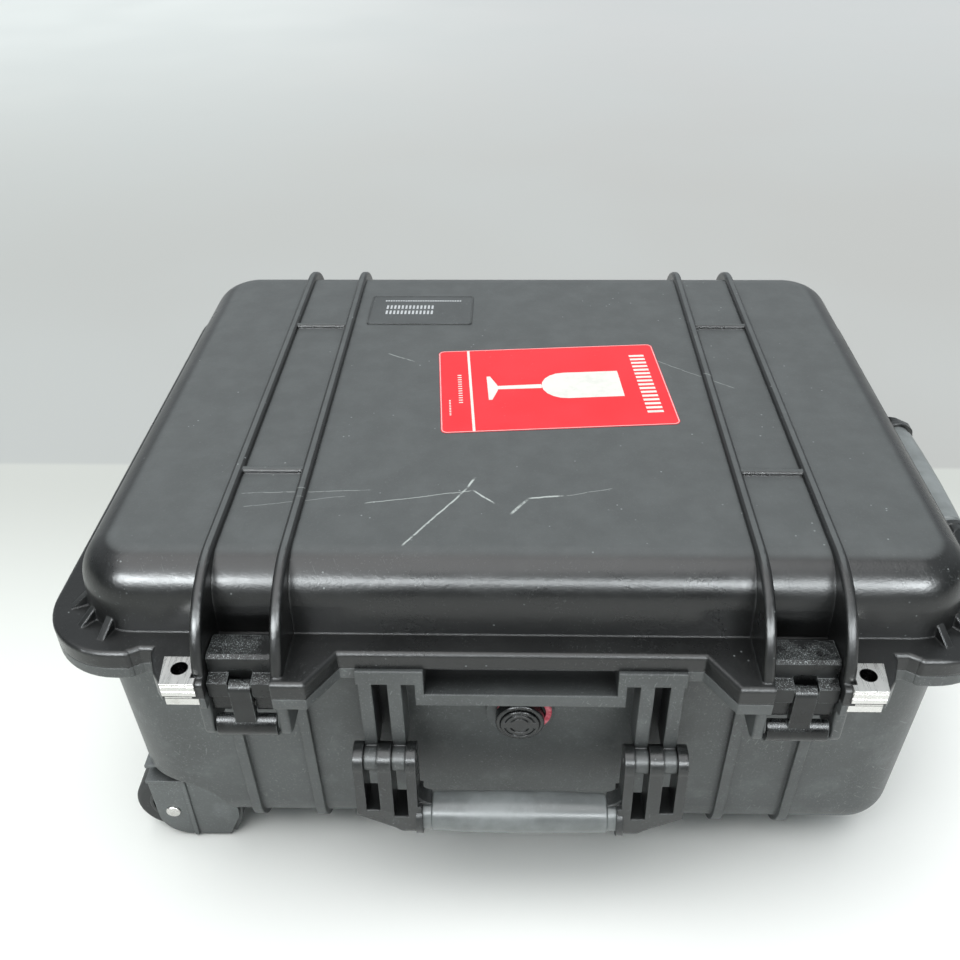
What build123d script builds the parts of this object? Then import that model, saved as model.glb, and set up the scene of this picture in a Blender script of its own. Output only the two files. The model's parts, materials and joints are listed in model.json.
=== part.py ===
from build123d import *
import os

os.makedirs("parts", exist_ok=True)

# Hard equipment case, closed. Millimetres. +X runs from the wheels to the trolley grip,
# +Y from the latches to the hinges, +Z up. The origin is on the floor, under the lid's centre.

# Shells
PARTING_Z = 206.0
PARTING_GAP = 0.3
LID_TOP_Z = 261.3
BASE_BOTTOM_Z = 23.5
WALL = 4.5
LID_HALF = (258.2, 195.4)
BASE_HALF = (257.0, 194.0)
CORNER_R = 38.0
LID_DRAFT = 3.0
BASE_DRAFT = 2.0
LID_EDGE_R = 25.5
BASE_EDGE_R = 30.0

# Flanges where the shells meet
FLANGE_HALF = (276.3, 210.5)
FLANGE_R = 46.0
LID_FLANGE_TOP = 217.5
BASE_FLANGE_BOTTOM = 197.0
BUMPER_GROWTH = 1.8
BUMPER_START_X = 219.0
DIP_Y = -207.8
DIP_X = (203.0, 214.0, 224.0)
LUG_FRONT_Y = -233.5
BASE_LUG_FRONT_Y = -231.0
BASE_LUG_BOTTOM = 201.5
LUG_OUTLINE_X = (102.0, 117.0, 195.0, 201.0, 207.0)
GASKET_HALF = (262.0, 200.0)
GASKET_R = 43.0
GROOVE_WIDTH = 4.6
GROOVE_DEPTH = 4.5

# Ribs, in pairs that pass over the latches and the hinges
STATION_X = 154.0
RIB_OFFSET = 21.5
RIB_WIDTH = 6.5
RIB_TOP_Z = 265.0
RIB_FRONT_Y = -230.0
RIB_FRONT_R = 58.0
RIB_BACK_Y = 216.0
RIB_BACK_R = 44.0
RIB_FOOT_Z = 169.0
LOW_RIB_HEIGHT = 3.5
CROSS_BAR_Y = (89.0, -99.6)

# Hinges
HINGE_Y = 213.0
KNUCKLE_R = 6.3
HINGE_PIN_R = 2.5
HINGE_PIN_HALF = 25.5
LID_KNUCKLE_HALF = 15.0
KNUCKLE_SWEEP_R = 7.1
BASE_KNUCKLES = ((-25.0, -15.3), (15.3, 25.0))
LID_KNUCKLES = ((-LID_KNUCKLE_HALF, LID_KNUCKLE_HALF),)
RUNNING_GAP = 0.05
SEAT_GAP = 0.02

# Latches
LATCH_HALF = 17.75
LATCH_BAY_HALF = RIB_OFFSET - RIB_WIDTH / 2
CLAW_PIVOT = (-221.5, 190.0)
LEVER_PIVOT = (-225.5, 207.0)
CLAW_PIN_R = 2.0
LEVER_PIN_R = 1.6
CLAW_SLOT_HALF = 6.5
TONGUE_HALF = 6.0
LID_LIP_Y = -216.5
BASE_LIP_Y = -214.0

# Padlock points
PADLOCK_X = 186.5
PADLOCK_Y = -223.5
PADLOCK_R = 4.5
PLATE = 1.5
PLATE_BACK_Y = -214.9
PLATE_INNER_X = (176.1, 182.5)
PLATE_OUTER_X = (194.6, 197.2)
INSERT_HALF = 7.5
INSERT_BACK_Y = -217.0

# Carrying handles: bracket and handle are drawn on the front, then turned to the right side too
BRACKET_FACE_Y = -213.0
HANDLE_PIN = (-217.0, 136.0)
HANDLE_PIN_R = 2.5
BRACKET_KNUCKLE_R = 7.3
BARS = ((67.8, 75.7), (84.7, 92.3))
EARS = ((61.5, 67.4), (76.1, 84.3), (92.7, 98.7))
EAR_R = 9.75
BAR_CENTRE = (-220.0, 89.0)
CORE_R = 7.0
GRIP_R = 12.5
GRIP_HALF = 59.0
SIDE_HANDLE_RAISE = 155.0
SIDE_SHIFT = 63.0

# Purge valve
VALVE_Z = 151.0
VALVE_BOSS_Y = -194.5
COLLAR_R = 14.7
KNOB_R = 11.7
VALVE_BARREL_R = 9.0

# Wheels
AXLE_X = -239.0
AXLE_Z = 28.0
WHEEL_R = 27.5
WELL_R = 47.0
WELL_INNER_Y = 140.0
WHEEL_Y = (152.5, 175.5)
AXLE_R = 4.0
BEARING_R = 8.0
HUB_R = 18.0

# Trolley handle under the base
TUBE_Y = 60.0
TUBE_Z = 12.0
OUTER_TUBE_R = 8.0
OUTER_BORE_R = 6.9
INNER_TUBE_R = 6.6
INNER_BORE_R = 5.4
OUTER_TUBE_X = (-200.0, 215.0)
INNER_TUBE_X = (-190.0, 262.0)
GRIP_X = (253.5, 268.0, 279.0)
GRIP_Z = (4.0, 34.0)
TROLLEY_GRIP_HALF = 75.0
ROD_R = 2.0
RAIL_Y = (-120.0, 0.0, 120.0)
RAIL_X = (-180.0, 186.0)
CLAMP_X = (-210.0, -185.0)
END_BRACKET_X = (191.0, 216.0)

# Thin pieces on the lid
LABEL_SIZE = (159.0, 108.0)
LABEL_CENTRE = (23.0, 2.8)
LABEL_TURN = 4.4
NAMEPLATE_SIZE = (82.6, 48.8)
NAMEPLATE_CENTRE = (-78.8, 117.6)


def block(x, y, z):
    """A box from three (low, high) pairs."""
    size = (x[1] - x[0], y[1] - y[0], z[1] - z[0])
    middle = ((x[0] + x[1]) / 2, (y[0] + y[1]) / 2, (z[0] + z[1]) / 2)
    return Pos(*middle) * Box(*size)


def rod_x(radius, x, y, z):
    """A cylinder along X between the two values of x."""
    return Pos((x[0] + x[1]) / 2, y, z) * Rot(0, 90, 0) * Cylinder(radius, abs(x[1] - x[0]))


def rod_y(radius, y, x, z):
    """A cylinder along Y between the two values of y."""
    return Pos(x, (y[0] + y[1]) / 2, z) * Rot(90, 0, 0) * Cylinder(radius, abs(y[1] - y[0]))


def rod_z(radius, z, x, y):
    """A cylinder along Z between the two values of z."""
    return Pos(x, y, (z[0] + z[1]) / 2) * Cylinder(radius, abs(z[1] - z[0]))


def side_profile(face, x):
    """A face drawn as (Y, Z) and extruded along X between the two values of x."""
    plane = Plane(origin=(x[0], 0, 0), x_dir=(0, 1, 0), z_dir=(1, 0, 0))
    return extrude(plane * face, x[1] - x[0])


def outline_face(*points):
    """A face inside straight lines through the points."""
    return make_face(Polyline(*points, close=True))


def tub(half, corner, z, draft, edge_r):
    """A solid rounded box from z[0], where it is largest, to z[1], with rounded far edges."""
    upward = z[1] > z[0]
    plane = Plane(origin=(0, 0, z[0]), x_dir=(1, 0, 0), z_dir=(0, 0, 1 if upward else -1))
    face = plane * RectangleRounded(2 * half[0], 2 * half[1], corner)
    solid = extrude(face, abs(z[1] - z[0]), taper=draft)
    far = solid.faces().sort_by(Axis.Z)[-1 if upward else 0]
    return fillet(far.edges(), edge_r)


def mirrored(solid):
    """The solid with its mirror image across the middle of the case."""
    return solid + mirror(solid, Plane.YZ)


def on_side(solid, side):
    """A right-side solid, or its mirror image when side is -1."""
    return solid if side > 0 else mirror(solid, Plane.YZ)


def flange_outline():
    """The plan of the flanges: rounded, thicker at the corners, with a lug at each latch."""
    half_x, half_y = FLANGE_HALF
    ring = RectangleRounded(2 * half_x, 2 * half_y, FLANGE_R)
    bumper = RectangleRounded(2 * half_x, 2 * (half_y + BUMPER_GROWTH), FLANGE_R)
    outline = ring + (bumper - Rectangle(2 * BUMPER_START_X, 600))
    inner, high, outer = DIP_X
    beyond = -half_y - 2 * BUMPER_GROWTH
    dip = outline_face((inner, beyond), (inner, DIP_Y), (high, DIP_Y), (outer, beyond))
    outline -= dip + mirror(dip, Plane.YZ)
    slant, front, outer, step, end = LUG_OUTLINE_X
    back_y = -half_y + 10
    lug = outline_face(
        (slant, back_y), (slant, -half_y), (front, LUG_FRONT_Y), (outer, LUG_FRONT_Y),
        (step, PADLOCK_Y - 2), (end, -half_y), (end, back_y),
    )
    return outline + lug + mirror(lug, Plane.YZ)


def flange(z):
    """The flange slab between two heights."""
    return extrude(Pos(0, 0, z[0]) * flange_outline(), z[1] - z[0])


def latch_bay(lip_y):
    """The space between each pair of front ribs, in front of the flange's lip."""
    bay = None
    for side in (-1, 1):
        x = side * STATION_X
        cut = block((x - LATCH_BAY_HALF, x + LATCH_BAY_HALF), (-260, lip_y), (190, 240))
        bay = cut if bay is None else bay + cut
    return bay


def rib_lines():
    """The X of each of the four ribs."""
    return [side * STATION_X + offset for side in (-1, 1) for offset in (-RIB_OFFSET, RIB_OFFSET)]


def rib_span(x):
    return (x - RIB_WIDTH / 2, x + RIB_WIDTH / 2)


def lid_rib(x):
    """A rib that runs over the lid and flares out to the flange at both ends."""
    foot = PARTING_Z + PARTING_GAP
    front = Polyline((0, foot), (RIB_FRONT_Y, foot), (RIB_FRONT_Y, RIB_TOP_Z - RIB_FRONT_R))
    front_bend = RadiusArc(
        (RIB_FRONT_Y, RIB_TOP_Z - RIB_FRONT_R), (RIB_FRONT_Y + RIB_FRONT_R, RIB_TOP_Z), RIB_FRONT_R
    )
    top = Line((RIB_FRONT_Y + RIB_FRONT_R, RIB_TOP_Z), (RIB_BACK_Y - RIB_BACK_R, RIB_TOP_Z))
    back_bend = RadiusArc(
        (RIB_BACK_Y - RIB_BACK_R, RIB_TOP_Z), (RIB_BACK_Y, RIB_TOP_Z - RIB_BACK_R), RIB_BACK_R
    )
    back = Polyline((RIB_BACK_Y, RIB_TOP_Z - RIB_BACK_R), (RIB_BACK_Y, foot), (0, foot))
    face = make_face(front + front_bend + top + back_bend + back)
    rib = side_profile(face, rib_span(x))
    crest = rib.edges().filter_by(Axis.X, reverse=True)
    crest = [e for e in crest if e.center().Z > foot + 8]
    return fillet(crest, 2.4)


def base_rib(x):
    """A rib that is deep beside the latch and low down the wall and round the bottom edge."""
    span = rib_span(x)
    deep = block(span, (RIB_FRONT_Y, -185), (RIB_FOOT_Z, PARTING_Z))
    toe = deep.edges().filter_by(Axis.X).sort_by(Axis.Y)[0:2].sort_by(Axis.Z)[0]
    deep = fillet(toe, 7)
    front_edges = deep.edges().filter_by(Axis.Z).sort_by(Axis.Y)[0:2]
    deep = fillet(front_edges, 2.0)
    half = [h + LOW_RIB_HEIGHT for h in BASE_HALF]
    z = (PARTING_Z, BASE_BOTTOM_Z - LOW_RIB_HEIGHT)
    skin = tub(half, CORNER_R + LOW_RIB_HEIGHT, z, BASE_DRAFT, BASE_EDGE_R + LOW_RIB_HEIGHT)
    low = skin & (block(span, (-240, -140), (0, 200)) + block(span, (140, 240), (0, 200)))
    return deep + low


def hinge_relief(spans):
    """Room for the other shell's barrels to turn in."""
    relief = None
    for side in (-1, 1):
        for low, high in spans:
            x = (side * STATION_X + low - 0.3, side * STATION_X + high + 0.3)
            cut = rod_x(KNUCKLE_SWEEP_R, x, HINGE_Y, PARTING_Z)
            relief = cut if relief is None else relief + cut
    return relief


def hinge_bores(radius):
    bores = rod_x(radius, (STATION_X - 27, STATION_X + 27), HINGE_Y, PARTING_Z)
    return mirrored(bores)


def padlock_notches():
    """The openings in the lugs that the steel inserts fill."""
    x = (PADLOCK_X - INSERT_HALF - SEAT_GAP, PADLOCK_X + INSERT_HALF + SEAT_GAP)
    return mirrored(block(x, (LUG_FRONT_Y - 5, INSERT_BACK_Y + SEAT_GAP), (190, 225)))


def corner_gussets():
    """Three small webs from the lid's wall to its flange at each corner."""
    centre = (LID_HALF[0] - CORNER_R, LID_HALF[1] - CORNER_R)
    top = LID_FLANGE_TOP + 9
    face = outline_face((30, LID_FLANGE_TOP - 1), (49, LID_FLANGE_TOP - 1), (36, top), (30, top))
    web = extrude(Plane.XZ * face, 2.25, both=True)
    webs = None
    for turn in (22, 45, 68):
        one = Pos(centre[0], centre[1], 0) * Rot(0, 0, turn) * web
        webs = one if webs is None else webs + one
    webs = webs + mirror(webs, Plane.XZ)
    return mirrored(webs)


def gasket_ring(width, z):
    """A ring that follows the gasket's path."""
    grow = width / 2
    outer = RectangleRounded(2 * (GASKET_HALF[0] + grow), 2 * (GASKET_HALF[1] + grow), GASKET_R + grow)
    inner = RectangleRounded(2 * (GASKET_HALF[0] - grow), 2 * (GASKET_HALF[1] - grow), GASKET_R - grow)
    return extrude(Pos(0, 0, z[0]) * (outer - inner), z[1] - z[0])


def lid_shell():
    foot = PARTING_Z + PARTING_GAP
    skin = tub(LID_HALF, CORNER_R, (foot, LID_TOP_Z), LID_DRAFT, LID_EDGE_R)
    half = [h - WALL for h in LID_HALF]
    hollow = tub(half, CORNER_R - WALL, (foot, LID_TOP_Z - WALL), LID_DRAFT, LID_EDGE_R - WALL)
    rim = flange((foot, LID_FLANGE_TOP))
    rim = fillet(rim.faces().sort_by(Axis.Z)[-1].edges(), 2.5)
    lid = skin + rim + corner_gussets()
    for x in rib_lines():
        lid += lid_rib(x)
    for side in (-1, 1):
        x = (side * STATION_X - RIB_OFFSET, side * STATION_X + RIB_OFFSET)
        for y in CROSS_BAR_Y:
            bar = block(x, (y - 2.5, y + 2.5), (LID_TOP_Z - 1, RIB_TOP_Z - 0.8))
            lid += fillet(bar.edges().filter_by(Axis.X).sort_by(Axis.Z)[-2:], 1.6)
    lid -= hinge_relief(BASE_KNUCKLES)
    knuckles = mirrored(rod_x(KNUCKLE_R, (139, 169), HINGE_Y, PARTING_Z))
    web = block((139, 169), (203, HINGE_Y + 3), (PARTING_Z + PARTING_GAP, LID_FLANGE_TOP - 2))
    lid += knuckles + mirrored(web)
    lid -= hollow
    lid -= latch_bay(LID_LIP_Y)
    lid -= gasket_ring(GROOVE_WIDTH, (foot, foot + GROOVE_DEPTH))
    lid -= hinge_bores(HINGE_PIN_R + RUNNING_GAP)
    lid -= padlock_notches()
    return lid


def handle_bracket():
    """The moulded bracket that carries a handle: bars, top plate, ledge and knuckles."""
    wall_y = -188.0
    face_y = BRACKET_FACE_Y
    pin_y, pin_z = HANDLE_PIN
    half = None
    pieces = [block(span, (face_y, wall_y), (pin_z, PARTING_Z)) for span in BARS]
    pieces += [rod_x(BRACKET_KNUCKLE_R, span, pin_y, pin_z) for span in BARS]
    pieces.append(block((55, 93.5), (face_y, wall_y), (195.5, PARTING_Z)))
    pieces.append(block((55, 60), (face_y, wall_y), (178.5, PARTING_Z)))
    for piece in pieces:
        half = piece if half is None else half + piece
    ledge = block((-60, 60), (face_y, wall_y), (178.5, 187.5))
    return mirrored(half) + fillet(ledge.edges().filter_by(Axis.Y).sort_by(Axis.Z)[0:2], 6)


def bracket_bores():
    """Holes for the two handle pins."""
    return mirrored(rod_x(HANDLE_PIN_R + SEAT_GAP, (60, 96), *HANDLE_PIN))


def to_side(solid):
    """Moves a front fitting to the right side of the case."""
    return Pos(SIDE_SHIFT, 0, 0) * Rot(0, 0, 90) * solid


def wheel_wells(radius, inner_y):
    """Cylinders about the wheel axle line, from inner_y outwards at both corners."""
    front = rod_y(radius, (-240, -inner_y), AXLE_X, AXLE_Z)
    return front + mirror(front, Plane.XZ)


def base_lug_relief():
    """Thins and shortens the base's padlock lug, which is smaller than the lid's."""
    x = (STATION_X + RIB_OFFSET, FLANGE_HALF[0] - FLANGE_R - 20)
    under = block(x, (-240, BASE_LIP_Y), (190, BASE_LUG_BOTTOM))
    return under + block(x, (-240, BASE_LUG_FRONT_Y), (190, PARTING_Z + 1))


def base_shell():
    z = (PARTING_Z, BASE_BOTTOM_Z)
    skin = tub(BASE_HALF, CORNER_R, z, BASE_DRAFT, BASE_EDGE_R)
    half = [h - WALL for h in BASE_HALF]
    hollow_z = (PARTING_Z, BASE_BOTTOM_Z + WALL)
    hollow = tub(half, CORNER_R - WALL, hollow_z, BASE_DRAFT, BASE_EDGE_R - WALL)
    hollow -= wheel_wells(WELL_R + WALL, WELL_INNER_Y - WALL)
    rim = flange((BASE_FLANGE_BOTTOM, PARTING_Z))
    rim = fillet(rim.faces().sort_by(Axis.Z)[0].edges(), 2.0)
    rim -= block((-55, 55), (-240, -200), (190, PARTING_Z + 1))
    rim -= mirrored(base_lug_relief())
    base = skin + rim
    for x in rib_lines():
        base += base_rib(x)
    base += handle_bracket() + to_side(handle_bracket())
    base += rod_y(20.5, (VALVE_BOSS_Y, -188), 0, VALVE_Z)
    for y in RAIL_Y:
        rail = block(RAIL_X, (y - 6, y + 6), (0, BASE_BOTTOM_Z + 1))
        rail = chamfer(rail.edges().filter_by(Axis.Y).sort_by(Axis.Z)[0:2], 12, 18)
        base += rail
    base -= hinge_relief(LID_KNUCKLES)
    for low, high in BASE_KNUCKLES:
        x = (STATION_X + low, STATION_X + high)
        barrel = rod_x(KNUCKLE_R, x, HINGE_Y, PARTING_Z)
        web = block(x, (190, HINGE_Y + 2), (PARTING_Z - 24, PARTING_Z))
        web = chamfer(web.edges().filter_by(Axis.X).sort_by(Axis.Z)[0:2].sort_by(Axis.Y)[-1], 18, 18)
        base += mirrored(barrel + web)
    base -= hollow
    base -= wheel_wells(WELL_R, WELL_INNER_Y)
    base -= latch_bay(BASE_LIP_Y)
    base -= hinge_bores(HINGE_PIN_R + SEAT_GAP)
    base -= padlock_notches()
    base -= bracket_bores() + to_side(bracket_bores())
    claw_bore = (STATION_X - 21, STATION_X + 21)
    base -= mirrored(rod_x(CLAW_PIN_R + SEAT_GAP, claw_bore, *CLAW_PIVOT))
    base -= rod_y(VALVE_BARREL_R + SEAT_GAP, (-210, -180), 0, VALVE_Z)
    base -= screw_group(trolley_screw_places(), 2.0 + SEAT_GAP, BASE_BOTTOM_Z - 1, BASE_BOTTOM_Z + 3)
    for place in housing_screw_places():
        base -= rod_z(2.0 + SEAT_GAP, (70, 78.5), *place)
    return base


def latch_claw(x):
    """The claw that hooks over the lid's lip and swings down on the base."""
    pivot_y, pivot_z = CLAW_PIVOT
    lever_y, lever_z = LEVER_PIVOT
    span = (x - LATCH_HALF, x + LATCH_HALF)
    hook = side_profile(
        outline_face(
            (-204, 218), (-217, 218), (-217, 199), (-225, 199), (-228.5, 202), (-228.5, 212.5),
            (-221.5, 214), (-221.5, 224.5), (-219.5, 226), (-204, 225.2),
        ),
        span,
    )
    arm = side_profile(outline_face((-217.5, 200), (-217.5, 190), (-225.5, 190), (-225.5, 200)), span)
    arm += rod_x(4.0, span, pivot_y, pivot_z)
    claw = hook + arm
    slot = (x - CLAW_SLOT_HALF, x + CLAW_SLOT_HALF)
    claw -= block(slot, (-240, -221.0), (180, 216))
    claw -= block(slot, (-240, -210.0), (180, 203))
    claw -= rod_x(CLAW_PIN_R + RUNNING_GAP, span, pivot_y, pivot_z)
    claw -= rod_x(LEVER_PIN_R + SEAT_GAP, (x - 14, x + 14), lever_y, lever_z)
    return claw


def latch_lever(x):
    """The pull lever: a tongue in the claw's slot and a curved finger pull below it."""
    lever_y, lever_z = LEVER_PIVOT
    tongue_span = (x - TONGUE_HALF, x + TONGUE_HALF)
    pull_span = (x - LATCH_HALF + 0.75, x + LATCH_HALF - 0.75)
    tongue = rod_x(4.2, tongue_span, lever_y, lever_z)
    tongue += side_profile(
        outline_face((-222.6, 207), (-229.7, 207), (-229.3, 180), (-225.5, 180)), tongue_span
    )
    outer_arc = ThreePointArc((-227.0, 184.0), (-231.0, 176.5), (-225.0, 168.0))
    inner_arc = ThreePointArc((-222.0, 168.5), (-227.0, 176.5), (-224.0, 184.0))
    toe = Line((-225.0, 168.0), (-222.0, 168.5))
    heel = Line((-224.0, 184.0), (-227.0, 184.0))
    face = make_face(outer_arc + toe + inner_arc + heel)
    pull = side_profile(face, pull_span)
    return tongue + pull - rod_x(LEVER_PIN_R + RUNNING_GAP, tongue_span, lever_y, lever_z)


def plate_sheet(front_y, z):
    """The right side's flat steel sheet, which widens in front of the rib beside it."""
    beside_rib = STATION_X + RIB_OFFSET + RIB_WIDTH / 2 + 0.1
    before_rib = RIB_FRONT_Y - 0.2
    face = outline_face(
        (PLATE_INNER_X[1], PLATE_BACK_Y), (beside_rib, PADLOCK_Y), (beside_rib, before_rib),
        (PLATE_INNER_X[0], before_rib), (PLATE_INNER_X[0], front_y),
        (PLATE_OUTER_X[0], front_y), (PLATE_OUTER_X[1], PLATE_BACK_Y),
    )
    return extrude(Pos(0, 0, z[0]) * face, z[1] - z[0])


def padlock_insert(front_y, z):
    """The steel block in the lug's opening."""
    return block((PADLOCK_X - INSERT_HALF, PADLOCK_X + INSERT_HALF), (front_y, INSERT_BACK_Y), z)


def padlock_bore():
    return rod_z(PADLOCK_R, (190, 225), PADLOCK_X, PADLOCK_Y)


def padlock_plate_lid():
    """The right side's steel piece: a sheet on the lid's lug, folded over its front, and an insert."""
    front = LUG_FRONT_Y - PLATE
    top = LID_FLANGE_TOP + PLATE
    lip_z = (PARTING_Z + 3.0, top)
    lip = block((PLATE_INNER_X[0], PLATE_OUTER_X[0]), (front, LUG_FRONT_Y), lip_z)
    for groove_z in (top - 1.8, top - 6.0):
        lip -= block((170, 200), (front - 1, front + 0.5), (groove_z - 0.4, groove_z + 0.4))
    plate = plate_sheet(front, (LID_FLANGE_TOP, top)) + lip
    plate += padlock_insert(LUG_FRONT_Y, (PARTING_Z + PARTING_GAP, LID_FLANGE_TOP))
    return plate - padlock_bore()


def padlock_plate_base():
    """The right side's steel piece under the base's lug, with its insert."""
    front = BASE_LUG_FRONT_Y - PLATE
    low = BASE_LUG_BOTTOM - PLATE
    lip = block((PLATE_INNER_X[0], PLATE_OUTER_X[0]), (front, BASE_LUG_FRONT_Y), (low, PARTING_Z - 0.5))
    plate = plate_sheet(front, (low, BASE_LUG_BOTTOM)) + lip
    plate += padlock_insert(BASE_LUG_FRONT_Y, (BASE_LUG_BOTTOM, PARTING_Z - 0.2))
    return plate - padlock_bore()


def handle_frame():
    """The hinged handle, hanging: ears and slotted arms at both ends of a core bar."""
    pin_y, pin_z = HANDLE_PIN
    bar_y, bar_z = BAR_CENTRE
    face = outline_face((-226.5, pin_z), (-209.5, pin_z), (-209.5, 76.5), (-229, 76.5), (-229, 100))
    face = fillet(face.vertices().sort_by(Axis.Y)[0:2], 6)
    arm = side_profile(face, (GRIP_HALF + 0.5, EARS[-1][1]))
    arm += rod_x(EAR_R, (EARS[0][0], EARS[-1][1]), pin_y, pin_z)
    arm -= block((50, EARS[0][0]), (-240, -200), (104, 150))
    under = Plane.XZ * outline_face((105, 60), (105, 98), (98.7, 97), (76, 84), (68, 77), (56, 74), (56, 60))
    arm -= extrude(under, 300, both=True)
    arm -= block((BARS[1][0] - 0.4, BARS[1][1] + 0.4), (-240, -200), (101, 150))
    arm -= block((BARS[0][0] - 0.4, BARS[0][1] + 0.4), (-240, -200), (95, 150))
    shoulder = rod_x(GRIP_R + 0.8, (GRIP_HALF, 63), bar_y, bar_z)
    crotch = Line((62, 117), (62, 102)) + Line((62, 102), (53.5, 102)) + Line((53.5, 102), (53.5, 102.8))
    crotch += ThreePointArc((53.5, 102.8), (59.3, 106.2), (62, 117))
    web = extrude(Plane(origin=(0, bar_y + 5, 0), x_dir=(1, 0, 0), z_dir=(0, -1, 0)) * make_face(crotch), 10)
    frame = mirrored(arm + shoulder + web)
    frame += rod_x(CORE_R, (-GRIP_HALF - 2, GRIP_HALF + 2), bar_y, bar_z)
    return frame - mirrored(rod_x(HANDLE_PIN_R + RUNNING_GAP, (60, 100), pin_y, pin_z))


def handle_grip():
    """The soft sleeve on the handle's bar, a little fuller in the middle."""
    half = GRIP_HALF
    crown = ThreePointArc((-half + 6, GRIP_R - 1), (0, GRIP_R), (half - 6, GRIP_R - 1))
    ends = Polyline(
        (half - 6, GRIP_R - 1), (half - 5, GRIP_R - 2), (half, GRIP_R - 2), (half, CORE_R + SEAT_GAP),
        (-half, CORE_R + SEAT_GAP), (-half, GRIP_R - 2), (-half + 5, GRIP_R - 2), (-half + 6, GRIP_R - 1),
    )
    sleeve = revolve(make_face(crown + ends), Axis.X)
    return Pos(0, *BAR_CENTRE) * sleeve


def handle_pin(side):
    x = (61.8 * side, 95.5 * side)
    return rod_x(HANDLE_PIN_R, (min(x), max(x)), *HANDLE_PIN)


def raised(solid):
    """Swings a hanging front handle up to its raised position."""
    pin_y, pin_z = HANDLE_PIN
    return Pos(0, pin_y, pin_z) * Rot(-SIDE_HANDLE_RAISE, 0, 0) * Pos(0, -pin_y, -pin_z) * solid


def valve_body():
    """The valve's collar outside the wall and its threaded barrel through it."""
    collar = rod_y(COLLAR_R, (-203, -196.7), 0, VALVE_Z)
    collar = fillet(collar.edges().sort_by(Axis.Y)[0], 1.2)
    body = collar + rod_y(VALVE_BARREL_R, (-197, -181), 0, VALVE_Z)
    body -= rod_y(KNOB_R + 0.4, (-204, -201.2), 0, VALVE_Z)
    return body - rod_y(3.0 + RUNNING_GAP, (-204, -180), 0, VALVE_Z)


def valve_knob():
    """The turning cap with concentric ridges and its stem."""
    knob = rod_y(KNOB_R, (-204.4, -201.4), 0, VALVE_Z)
    knob = fillet(knob.edges().sort_by(Axis.Y)[0], 0.8)
    for low, high in ((8.6, 9.8), (5.4, 6.4)):
        groove = rod_y(high, (-205, -203.5), 0, VALVE_Z) - rod_y(low, (-205, -203), 0, VALVE_Z)
        knob -= groove - block((-12, 12), (-206, -203), (VALVE_Z - 2.5, VALVE_Z + 2.5))
    return knob + rod_y(3.0, (-202, -183), 0, VALVE_Z)


def valve_seal_ring():
    """The flat seal under the collar. It has crept out of centre towards the upper right."""
    ring = rod_y(16.5, (-196.6, VALVE_BOSS_Y), 0, VALVE_Z) - rod_y(13.0, (-198, -190), 0, VALVE_Z)
    ring = fillet(ring.edges().sort_by(Axis.Y)[0:1], 0.6)
    return Pos(2.7, 0, 2.3) * ring


def valve_nut():
    nut = extrude(Plane(origin=(0, -187, VALVE_Z), z_dir=(0, 1, 0)) * RegularPolygon(13.5, 6), 5)
    return nut - rod_y(VALVE_BARREL_R + SEAT_GAP, (-190, -180), 0, VALVE_Z)


def wheel_tyre():
    tyre = rod_y(WHEEL_R, (-WHEEL_Y[1], -WHEEL_Y[0]), AXLE_X, AXLE_Z)
    tyre = fillet(tyre.edges(), 4)
    return tyre - rod_y(HUB_R, (-180, -150), AXLE_X, AXLE_Z)


def wheel_hub():
    """The hub, dished between its rim and its boss, with bearing seats at both ends."""
    low, high = -WHEEL_Y[1], -WHEEL_Y[0]
    hub = rod_y(HUB_R, (low, high), AXLE_X, AXLE_Z)
    for y in ((low - 1, low + 5), (high - 5, high + 1)):
        hub -= rod_y(HUB_R - 2.5, y, AXLE_X, AXLE_Z) - rod_y(BEARING_R + 2.5, y, AXLE_X, AXLE_Z)
        hub -= rod_y(BEARING_R + SEAT_GAP, y, AXLE_X, AXLE_Z)
    return hub - rod_y(AXLE_R + 1.5, (low, high), AXLE_X, AXLE_Z)


def wheel_bearings():
    """A pair of bearings, one in each end of the hub."""
    low, high = -WHEEL_Y[1], -WHEEL_Y[0]
    pair = rod_y(BEARING_R, (low, low + 5), AXLE_X, AXLE_Z) + rod_y(BEARING_R, (high - 5, high), AXLE_X, AXLE_Z)
    return pair - rod_y(AXLE_R + RUNNING_GAP, (low, high), AXLE_X, AXLE_Z)


def wheel_axle():
    """The riveted axle, with a domed head on the outer plate."""
    axle = rod_y(AXLE_R, (-181.2, -142.5), AXLE_X, AXLE_Z)
    head = rod_y(AXLE_R + 1.0, (-182.4, -181.2), AXLE_X, AXLE_Z)
    head = fillet(head.edges().sort_by(Axis.Y)[0], 0.9)
    return axle + head


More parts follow.
